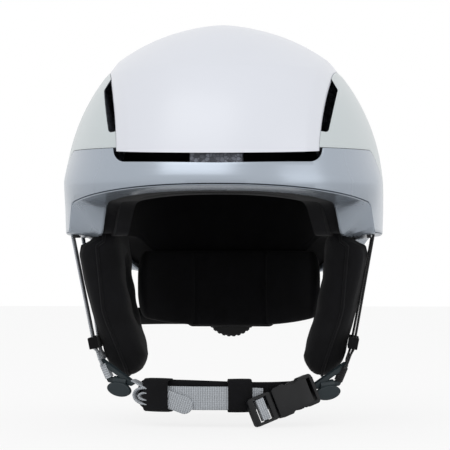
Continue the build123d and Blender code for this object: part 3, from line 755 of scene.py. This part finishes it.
def strapPath(sign, ys, lift, end):
    top, bottom = strap["top"], strap["bottom"]
    points = []
    for z in (top[1], -130.0, -156.0, ear["loopZ"] + 6, ear["loopZ"] - 4):
        t = (top[1] - z) / (top[1] - bottom[1])
        points.append((sign * (top[0] + (bottom[0] + lift - top[0]) * t), ys[0] + (ys[1] - ys[0]) * t, z))
    raised = 2.0 if sign < 0 else 0.0
    return smoothPath(points + [(sign * x, y, z + raised) for x, y, z in end])


def straps():
    pieces = []
    for sign, side in ((1, "left"), (-1, "right")):
        colour = "webbing_black" if side == "left" else "webbing_grey"
        for name, ys, lift in (("front", strap["frontY"], strap["frontLift"]), ("rear", strap["rearY"], 0)):
            path = strapPath(sign, ys, lift, strap[name + "End"])
            piece = ribbon("strap" + name.title() + side.title(), path, (0, 1, 0),
                           13.5 if name == "rear" else 15.0, 1.6)
            pieces.append(finished(piece, colour, f"strap_{name}_{side}"))
        raised = 2.0 if sign < 0 else 0.0
        a, b = [np.array((sign * x, y, z + raised)) for x, y, z in strap["ringBar"]]
        wrapPiece = ribbon("ringWebbing" + side.title(), [a + (b - a) * t for t in (0.1, 0.5, 0.9)],
                           (sign * 0.45, -0.857, -0.25), 5.4, 4.8, sections=10)
        pieces.append(finished(wrapPiece, colour))
    return pieces


# Chin strap, on an arc in plan

chin = {
    "arc": [(-72, -20), (-8, -52), (56, -24)],
    "padX": (-58.5, 55.0), "padWall": 5.0, "padZ": (-227.0, -207.5),
    "webX": (-47.5, 19.5), "webZ": (-227.0, -211.0), "tailX": (-47.5, -20.0),
    "bridgeX": (19.2, 27.5), "gap": 0.3, "thick": 1.8,
    "loops": [(-50.5, -34.5), (3.9, 19.1)], "loopWall": 1.2,
}
chinX, chinY, chinR = circleThrough(*chin["arc"])
padRadii = (chinR - chin["padWall"] / 2, chinR + chin["padWall"] / 2)
webR = padRadii[1] + chin["gap"] + chin["thick"] / 2
tailR = webR + chin["thick"] + chin["gap"]


def chinPath(radius, x0, x1, z0, z1=None, count=40):
    a0, a1 = math.asin((x0 - chinX) / radius), math.asin((x1 - chinX) / radius)
    z1 = z0 if z1 is None else z1
    path = []
    for t in np.linspace(0, 1, count):
        a = a0 + (a1 - a0) * t
        path.append((chinX + radius * math.sin(a), chinY - radius * math.cos(a), z0 + (z1 - z0) * t))
    return path


def chinPad():
    x0, x1 = chin["padX"]
    z0, z1 = chin["padZ"]
    a0, a1 = math.asin((x0 - chinX) / chinR), math.asin((x1 - chinX) / chinR)
    points, count, around = [], 90, 40
    for i in range(count + 1):
        t = i / count
        a = a0 + (a1 - a0) * t
        end = min(t, 1 - t) * (a1 - a0) * chinR
        half = (z1 - z0) / 2 * math.sqrt(max(0.05, 1 - max(0, 1 - end / 7) ** 2.5))
        wall = chin["padWall"] / 2 * math.sqrt(max(0.1, 1 - max(0, 1 - end / 2.2) ** 2))
        top = 0.9 * math.sin(t * 5.3 + 0.4) * (1 if end > 8 else end / 8)
        for k in range(around):
            w = 2 * pi * k / around
            c, s = math.cos(w), math.sin(w)
            r = chinR + wall * math.copysign(abs(c) ** 0.62, c)
            z = (z0 + z1) / 2 + half * math.copysign(abs(s) ** 0.7, s) + (top if s > 0 else 0) * abs(s)
            points.append((chinX + r * math.sin(a), chinY - r * math.cos(a), z))
    piece = newMesh("chinPad", points, ringFaces(count + 1, around))
    tidyMesh(piece)
    smooth(piece, 55)
    return finished(piece, "lining", "chin_pad")


def chinWebbing():
    middle = (chin["webZ"][0] + chin["webZ"][1]) / 2
    width = chin["webZ"][1] - chin["webZ"][0]
    main = ribbon("chinWebbing", chinPath(webR, *chin["webX"], middle), (0, 0, 1), width, chin["thick"])
    tail = ribbon("webbingTail", chinPath(tailR, *chin["tailX"], middle + 3.2, middle - 6.6), (0, 0, 1),
                  12.0, chin["thick"], (False, True))
    bridge = ribbon("webbingBridge", chinPath(webR, *chin["bridgeX"], middle, middle - 0.5), (0, 0, 1),
                    width * 0.9, chin["thick"])
    for piece, node in ((main, "chin_webbing"), (tail, "webbing_tail"), (bridge, "webbing_bridge")):
        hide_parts(node)
        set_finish(piece, "webbing_grey")
    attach(main, "helmet")
    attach(tail, "helmet")
    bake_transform(bridge)
    return main, tail, bridge


def chinLoops():
    pieces = []
    z0, z1 = chin["padZ"][0] - 0.4, chin["padZ"][1] + 0.4
    for number, (x0, x1) in enumerate(chin["loops"]):
        inner = padRadii[0] - chin["gap"]
        outer = (tailR if number == 0 else webR) + chin["thick"] / 2 + chin["gap"]
        wall = chin["loopWall"]
        a0, a1 = math.asin((x0 - chinX) / chinR), math.asin((x1 - chinX) / chinR)
        sections = 14
        outline = []
        for k, grow in ((0, 0), (1, wall)):
            near, far, low, high = inner - grow, outer + grow, z0 - grow, z1 + grow
            box = [(near, low), (far, low), (far, high), (near, high)]
            outline.append(roundOutline(box, 2.2 + grow, steps=6))
        count = len(outline[0])
        points = []
        for i in range(sections + 1):
            a = a0 + (a1 - a0) * i / sections
            puff = 0.25 * math.sin(pi * i / sections)
            for k in (0, 1):
                for r, z in outline[k]:
                    if k:
                        r += puff * (1 if r > (inner + outer) / 2 else -1)
                        z += 0.5 * puff * (1 if z > (z0 + z1) / 2 else -1)
                    points.append((chinX + r * math.sin(a), chinY - r * math.cos(a), z))
        row = 2 * count
        faces = []
        for i in range(sections):
            for c in range(count):
                d = (c + 1) % count
                here, there = i * row, (i + 1) * row
                faces.append((here + c, here + d, there + d, there + c))
                faces.append((here + count + c, there + count + c, there + count + d, here + count + d))
        for base in (0, sections * row):
            for c in range(count):
                d = (c + 1) % count
                faces.append((base + c, base + d, base + count + d, base + count + c))
        piece = newMesh("chinLoop" + str(number + 1), points, faces)
        tidyMesh(piece)
        softenEdges(piece, 0.4, 2, 50)
        smooth(piece, 40)
        pieces.append(finished(piece, "lining"))
    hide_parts("chin_pad_loops")
    return pieces


# slack at the right divider: a strip from the ring's bar, and a curl tucked into the first loop
fold = {
    "strip": [(-61.6, -39.4, -207.6), (-58.6, -40.4, -209.0), (-54.5, -42.0, -211.2), (-46.5, -45.5, -213.6)],
    "outer": [(-46.5, -213.6), (-53.6, -212.6), (-58.4, -214.0), (-60.3, -217.4), (-58.8, -221.0),
              (-54.6, -223.2), (-46.5, -224.4)],
    "inner": [(-46.5, -216.6), (-53.4, -216.0), (-56.6, -217.8), (-55.4, -219.9), (-51.6, -220.8),
              (-46.5, -221.2)],
    "y": -43.6, "lean": 0.34, "width": 8.0,
}


def webbingFold():
    pieces = [ribbon("webbingStrip", smoothPath(fold["strip"]), (0.35, 1, 0), 9.0, 1.6)]
    for name in ("outer", "inner"):
        path = smoothPath([(x, fold["y"] + fold["lean"] * -(x + 53), z) for x, z in fold[name]])
        pieces.append(ribbon("webbingCurl" + name.title(), path, (0.35, 1, 0), fold["width"], 1.7))
    for piece in pieces:
        finished(piece, "webbing_grey")
    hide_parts("webbing_fold")
    return pieces


# Neck pad, sewn in three fields

neck = {
    "centreY": 10.0, "radius": 84.0, "wall": 8.0, "angle": 54.0, "z": (-174.5, -119.0), "endLift": 8.0,
    "groove": (1.6, 0.36, 0.022),
}


def neckPad():
    depth, place, spread = neck["groove"]
    z1 = neck["z"][1]
    middle = neck["radius"] - neck["wall"] / 2
    points, count, around = [], 110, 44
    for i in range(count + 1):
        t = i / count
        a = deg(neck["angle"]) * (2 * t - 1)
        end = min(t, 1 - t) * 2 * deg(neck["angle"]) * middle
        z0 = neck["z"][0] + neck["endLift"] * abs(2 * t - 1) ** 2.2
        half = (z1 - z0) / 2 * math.sqrt(max(0.1, 1 - max(0, 1 - end / 8) ** 2.4))
        wall = neck["wall"] / 2 * math.sqrt(max(0.12, 1 - max(0, 1 - end / 3.4) ** 2))
        groove = depth * math.exp(-((abs(2 * t - 1) - place) / spread) ** 2)
        for k in range(around):
            w = 2 * pi * k / around
            c, s = math.cos(w), math.sin(w)
            inward = wall * math.copysign(abs(c) ** 0.7, c)
            if c > 0.25:
                inward -= groove
            r = middle - inward
            z = (z0 + z1) / 2 + half * math.copysign(abs(s) ** 0.55, s)
            points.append((r * math.sin(a), neck["centreY"] + r * math.cos(a), z))
    piece = newMesh("neckPad", points, ringFaces(count + 1, around))
    tidyMesh(piece)
    smooth(piece, 55)
    return finished(piece, "lining", "neck_pad")


# Materials

def linear(hexColour):
    value = hexColour.lstrip("#")
    out = []
    for i in (0, 2, 4):
        c = int(value[i:i + 2], 16) / 255
        out.append(c / 12.92 if c <= 0.04045 else ((c + 0.055) / 1.055) ** 2.4)
    return (*out, 1)


def shaded(hexColour, share):
    return tuple(min(1, v * share) for v in linear(hexColour)[:3]) + (1,)


class Graph:
    def __init__(self, name):
        self.material = bpy.data.materials.new(name)
        self.material.use_nodes = True
        self.tree = self.material.node_tree
        self.tree.nodes.clear()
        self.output = self.add("ShaderNodeOutputMaterial")
        self.shader = self.add("ShaderNodeBsdfPrincipled")
        self.tree.links.new(self.shader.outputs[0], self.output.inputs["Surface"])

    def add(self, kind, settings=None, **inputs):
        node = self.tree.nodes.new(kind)
        for key, value in (settings or {}).items():
            setattr(node, key, value)
        for key, value in inputs.items():
            key = key.replace("_", " ")
            socket = node.inputs[int(key[1:])] if key[0] == "i" and key[1:].isdigit() else node.inputs[key]
            if isinstance(value, bpy.types.NodeSocket):
                self.tree.links.new(value, socket)
            else:
                socket.default_value = value
        return node

    def set(self, **inputs):
        for key, value in inputs.items():
            socket = self.shader.inputs[key.replace("_", " ")]
            if isinstance(value, bpy.types.NodeSocket):
                self.tree.links.new(value, socket)
            else:
                socket.default_value = value
        return self


def mixColour(graph, factor, first, second):
    node = graph.add("ShaderNodeMix", {"data_type": "RGBA"})
    for socket, value in ((node.inputs[0], factor), (node.inputs[6], first), (node.inputs[7], second)):
        if isinstance(value, bpy.types.NodeSocket):
            graph.tree.links.new(value, socket)
        else:
            socket.default_value = value
    return node.outputs[2]


def roughSpread(graph, fac, rough, spread):
    return graph.add("ShaderNodeMapRange", Value=fac, To_Min=rough - spread, To_Max=rough + spread).outputs[0]


def lacquer(name, colour, rough, metallic=0.0, coat=0.3):
    # injection-moulded polycarbonate under a sprayed satin lacquer: faint orange peel, dust-level tone shift
    g = Graph(name)
    coords = g.add("ShaderNodeTexCoord").outputs["Object"]
    tone = g.add("ShaderNodeTexNoise", Vector=coords, Scale=9.0, Detail=2.0)
    peel = g.add("ShaderNodeTexNoise", Vector=coords, Scale=650.0, Detail=2.0)
    base = mixColour(g, tone.outputs["Fac"], linear(colour), shaded(colour, 0.95))
    roughness = roughSpread(g, tone.outputs["Fac"], rough, 0.04)
    bump = g.add("ShaderNodeBump", Height=peel.outputs["Fac"], Strength=0.05, Distance=0.0001)
    g.set(Base_Color=base, Roughness=roughness, Normal=bump.outputs[0], Metallic=metallic)
    g.shader.inputs["Coat Weight"].default_value = coat
    g.shader.inputs["Coat Roughness"].default_value = 0.22
    g.shader.inputs["IOR"].default_value = 1.5
    return g.material


def beadFoam(name, colour):
    # expanded polystyrene: fused 2.5 mm beads, mid grey with lighter faces and darker seams
    g = Graph(name)
    coords = g.add("ShaderNodeTexCoord").outputs["Object"]
    cells = g.add("ShaderNodeTexVoronoi", {"feature": "DISTANCE_TO_EDGE"}, Vector=coords, Scale=400.0)
    tint = g.add("ShaderNodeTexVoronoi", Vector=coords, Scale=400.0)
    seam = g.add("ShaderNodeMapRange", Value=cells.outputs["Distance"], From_Max=0.12)
    shade = g.add("ShaderNodeSeparateColor", Color=tint.outputs["Color"])
    body = mixColour(g, shade.outputs[0], shaded(colour, 0.5), shaded(colour, 1.6))
    base = mixColour(g, seam.outputs[0], shaded(colour, 0.45), body)
    bump = g.add("ShaderNodeBump", Height=seam.outputs[0], Strength=0.5, Distance=0.0005)
    g.set(Base_Color=base, Normal=bump.outputs[0], Roughness=0.8)
    g.shader.inputs["Specular IOR Level"].default_value = 0.3
    return g.material


def knit(name, colour, cell):
    # brushed polyester knit over foam: short nap, soft sheen at grazing angles
    g = Graph(name)
    coords = g.add("ShaderNodeTexCoord").outputs["Object"]
    nap = g.add("ShaderNodeTexNoise", Vector=coords, Scale=1000 / cell, Detail=3.0, Roughness=0.7)
    patch = g.add("ShaderNodeTexNoise", Vector=coords, Scale=60.0, Detail=3.0)
    both = g.add("ShaderNodeMath", {"operation": "MULTIPLY"}, i0=nap.outputs["Fac"], i1=patch.outputs["Fac"])
    spread = g.add("ShaderNodeMapRange", Value=both.outputs[0], From_Min=0.12, From_Max=0.4)
    base = mixColour(g, spread.outputs[0], shaded(colour, 0.55), shaded(colour, 1.5))
    bump = g.add("ShaderNodeBump", Height=nap.outputs["Fac"], Strength=0.45, Distance=0.0004)
    g.set(Base_Color=base, Normal=bump.outputs[0], Roughness=0.9)
    g.shader.inputs["Sheen Weight"].default_value = 0.06
    g.shader.inputs["Sheen Roughness"].default_value = 0.5
    g.shader.inputs["Specular IOR Level"].default_value = 0.2
    return g.material


def weave(name, colour, rib):
    # woven polyester webbing: ribs across the strap, warp lines along it, with painted shade in their grooves
    # and painted light on their crests
    g = Graph(name)
    uv = g.add("ShaderNodeUVMap", {"uv_map": "weave"}).outputs[0]
    parts = g.add("ShaderNodeSeparateXYZ", Vector=uv)
    ribs = g.add("ShaderNodeMath", {"operation": "MULTIPLY"}, i0=parts.outputs[0], i1=2 * pi / (rib * mm))
    warp = g.add("ShaderNodeMath", {"operation": "MULTIPLY"}, i0=parts.outputs[1], i1=2 * pi / (1.25 * mm))
    ribWave = g.add("ShaderNodeMath", {"operation": "SINE"}, i0=ribs.outputs[0])
    warpWave = g.add("ShaderNodeMath", {"operation": "SINE"}, i0=warp.outputs[0])
    height = g.add("ShaderNodeMath", {"operation": "MULTIPLY_ADD"},
                   i0=warpWave.outputs[0], i1=0.45, i2=ribWave.outputs[0])
    coords = g.add("ShaderNodeTexCoord").outputs["Object"]
    fuzz = g.add("ShaderNodeTexNoise", Vector=coords, Scale=2200.0, Detail=2.0)
    total = g.add("ShaderNodeMath", {"operation": "MULTIPLY_ADD"},
                  i0=fuzz.outputs["Fac"], i1=0.6, i2=height.outputs[0])
    # painted shade and light: the colour follows the weave's relief, darker in the grooves and lighter on the
    # crests, with random fuzz tone on top
    spread = g.add("ShaderNodeMapRange", Value=total.outputs[0], From_Min=-1.2, From_Max=1.6)
    base = mixColour(g, spread.outputs[0], shaded(colour, 0.6), shaded(colour, 1.12))
    bump = g.add("ShaderNodeBump", Height=total.outputs[0], Strength=0.7, Distance=0.00025)
    g.set(Base_Color=base, Normal=bump.outputs[0], Roughness=0.72)
    g.shader.inputs["Sheen Weight"].default_value = 0.15
    g.shader.inputs["Specular IOR Level"].default_value = 0.3
    return g.material


def plastic(name, colour, rough, grain=0.25):
    # moulded acetal or nylon with a fine spark-eroded grain
    g = Graph(name)
    coords = g.add("ShaderNodeTexCoord").outputs["Object"]
    fine = g.add("ShaderNodeTexNoise", Vector=coords, Scale=2500.0, Detail=3.0)
    wear = g.add("ShaderNodeTexNoise", Vector=coords, Scale=90.0, Detail=4.0)
    roughness = roughSpread(g, wear.outputs["Fac"], rough, 0.07)
    bump = g.add("ShaderNodeBump", Height=fine.outputs["Fac"], Strength=grain, Distance=0.00008)
    g.set(Base_Color=linear(colour), Roughness=roughness, Normal=bump.outputs[0])
    g.shader.inputs["IOR"].default_value = 1.48
    g.shader.inputs["Specular IOR Level"].default_value = 0.32
    return g.material


def steel(name, colour, rough):
    # zinc-plated steel
    g = Graph(name)
    coords = g.add("ShaderNodeTexCoord").outputs["Object"]
    wear = g.add("ShaderNodeTexNoise", Vector=coords, Scale=300.0, Detail=4.0)
    roughness = roughSpread(g, wear.outputs["Fac"], rough, 0.08)
    g.set(Base_Color=linear(colour), Metallic=1.0, Roughness=roughness)
    return g.material


def dress(pieces, material):
    for piece in pieces:
        piece.data.materials.clear()
        piece.data.materials.append(material)


# All pieces are made here

crownPanel()
sidePanels()
browBand()
rearBand()
rimWrap()
print("shell made")

impactLiner()
comfortLiner()
browPad()
linerHem()
neckPad()
print("liner made")

earPads()
straps()
chinPad()
chinWebbing()
chinLoops()
webbingFold()
print("soft pieces made")

hard = {
    "divider_left": (0.45, "plastic_grey", "helmet"), "divider_right": (0.45, "plastic_grey", "helmet"),
    "divider_lock_left": (0.7, "plastic_grey", "lock_l"),
    "divider_lock_right": (0.7, "plastic_grey", "lock_r"),
    "buckle_socket": (0.8, "plastic_black", "helmet"), "buckle_plug": (0.4, "plastic_black", "plug"),
    "buckle_arm_upper": (0.3, "plastic_black", "arm_u"), "buckle_arm_lower": (0.3, "plastic_black", "arm_d"),
    "fit_dial": (0.5, "plastic_black", "dial"), "dial_pinion": (0.15, "plastic_grey", "dial"),
    "dial_screw": (0.2, "steel", "dial"), "cradle_yoke": (0.5, "plastic_black", "helmet"),
    "yoke_cover": (0.25, "plastic_black", "helmet"), "band_left": (0.15, "plastic_black", "band_l"),
    "band_right": (0.15, "plastic_black", "band_r"), "goggle_clip_base": (0.4, "plastic_black", "helmet"),
    "goggle_clip": (0.4, "plastic_black", "goggle_lever"), "goggle_clip_pin": (0.15, "steel", "helmet"),
    "strap_anchors": (0.3, "plastic_black", "helmet"), "ear_clips": (0.4, "plastic_black", "helmet"),
    "ear_loop_left": (0.9, "lining", "helmet"), "ear_loop_right": (0.9, "lining", "helmet"),
    "plug_webbing": (0.4, "webbing_grey", "plug"), "socket_webbing": (0.3, "webbing_black", "helmet"),
}
for node, (width, slotName, body) in hard.items():
    softenNode(node, width, 3 if width >= 0.4 else 2, slotName=slotName, body=body)
print("moulded parts made")

finish = {
    "shell_white": lacquer("satin lacquered polycarbonate white", "#e6e9f1", 0.36),
    "shell_pale": lacquer("satin lacquered polycarbonate pale grey", "#cdd5d7", 0.38),
    "shell_silver": lacquer("silver lacquered polycarbonate", "#a4adb8", 0.27, 0.7, 0.3),
    "foam": beadFoam("expanded polystyrene grey", "#6c6f78"),
    "lining": knit("brushed polyester knit black", "#0b0b0e", 0.5),
    "webbing_grey": weave("polyester webbing grey", "#c0c5cb", 1.6),
    "webbing_black": weave("polyester webbing black", "#0d0e11", 1.6),
    "plastic_grey": plastic("moulded nylon dark grey", "#2c3539", 0.42),
    "plastic_black": plastic("moulded acetal black", "#0c0d10", 0.38),
    "steel": steel("zinc-plated steel", "#b9bcc0", 0.32),
}
for piece in bpy.context.scene.objects:
    if piece.type == "MESH" and "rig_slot" in piece and piece.name not in frame["nodes"]:
        dress([piece], finish[piece["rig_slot"]])
print("materials made")


# Floor, light and camera

studio = {
    "aim": (0.0007, -0.020, -0.1005), "distance": 1.75, "azimuth": 2.5, "elevation": -0.3, "lens": 201.0,
    "key": 9.0, "fill": 3.0, "world": 0.7, "floor": "#f4f4f4", "whiteShare": 0.82,
}


def areaLight(name, place, target, size, power):
    data = bpy.data.lights.new(name, "AREA")
    data.shape = "RECTANGLE"
    data.size, data.size_y = size
    data.energy = power
    lamp = bpy.data.objects.new(name, data)
    lamp.location = place
    lamp.rotation_euler = (Vector(place) - Vector(target)).to_track_quat("Z", "Y").to_euler()
    bpy.context.scene.collection.objects.link(lamp)
    return lamp


deselectAll()
bpy.ops.mesh.primitive_plane_add(size=6, location=(0, 0, cadBox[0][2] - 0.0005))
floor = bpy.context.object
floor.name = "floor"
ground = Graph("pale studio floor")
ground.set(Base_Color=linear(studio["floor"]), Roughness=0.9)
# the floor shows white to the camera, keeps part of the shadow, and is clear from below
glow = ground.add("ShaderNodeEmission", Color=(1, 1, 1, 1), Strength=1.0)
seenRay = ground.add("ShaderNodeLightPath").outputs["Is Camera Ray"]
share = ground.add("ShaderNodeMath", {"operation": "MULTIPLY"}, i0=seenRay, i1=studio["whiteShare"])
both = ground.add("ShaderNodeMixShader", i0=share.outputs[0], i1=ground.shader.outputs[0], i2=glow.outputs[0])
clear = ground.add("ShaderNodeBsdfTransparent")
face = ground.add("ShaderNodeNewGeometry").outputs["Backfacing"]
total = ground.add("ShaderNodeMixShader", i0=face, i1=both.outputs[0], i2=clear.outputs[0])
ground.tree.links.new(total.outputs[0], ground.output.inputs["Surface"])
dress([floor], ground.material)

areaLight("key", (-0.5, -1.5, 1.3), (0, 0, -0.08), (1.6, 1.2), studio["key"])
areaLight("fill", (1.6, -0.9, 0.3), (0, 0, -0.1), (1.2, 1.2), studio["fill"])

world = bpy.data.worlds.new("white studio")
bpy.context.scene.world = world
world.use_nodes = True
tree = world.node_tree
tree.nodes.clear()
ray = tree.nodes.new("ShaderNodeLightPath")
seen = tree.nodes.new("ShaderNodeBackground")
seen.inputs["Strength"].default_value = 1.0
lit = tree.nodes.new("ShaderNodeBackground")
lit.inputs["Strength"].default_value = studio["world"]
mix = tree.nodes.new("ShaderNodeMixShader")
out = tree.nodes.new("ShaderNodeOutputWorld")
seen.inputs["Color"].default_value = lit.inputs["Color"].default_value = (1, 1, 1, 1)
direct = tree.nodes.new("ShaderNodeMath")
direct.operation = "MAXIMUM"
tree.links.new(ray.outputs["Is Camera Ray"], direct.inputs[0])
tree.links.new(ray.outputs["Is Glossy Ray"], direct.inputs[1])
either = tree.nodes.new("ShaderNodeMath")
either.operation = "MAXIMUM"
tree.links.new(direct.outputs[0], either.inputs[0])
tree.links.new(ray.outputs["Is Transmission Ray"], either.inputs[1])
tree.links.new(either.outputs[0], mix.inputs[0])
tree.links.new(lit.outputs[0], mix.inputs[1])
tree.links.new(seen.outputs[0], mix.inputs[2])
tree.links.new(mix.outputs[0], out.inputs[0])

camera = bpy.data.objects.new("camera", bpy.data.cameras.new("camera"))
bpy.context.scene.collection.objects.link(camera)
camera.data.lens = studio["lens"]
camera.data.clip_start = 0.01
aim = Vector(studio["aim"])
az, el = deg(studio["azimuth"]), deg(studio["elevation"])
away = Vector((math.sin(az) * math.cos(el), -math.cos(az) * math.cos(el), math.sin(el)))
camera.location = aim + studio["distance"] * away
camera.rotation_euler = (camera.location - aim).to_track_quat("Z", "Y").to_euler()
bpy.context.scene.camera = camera
bpy.context.scene.view_settings.view_transform = "Standard"
print("studio made")

deselectAll()
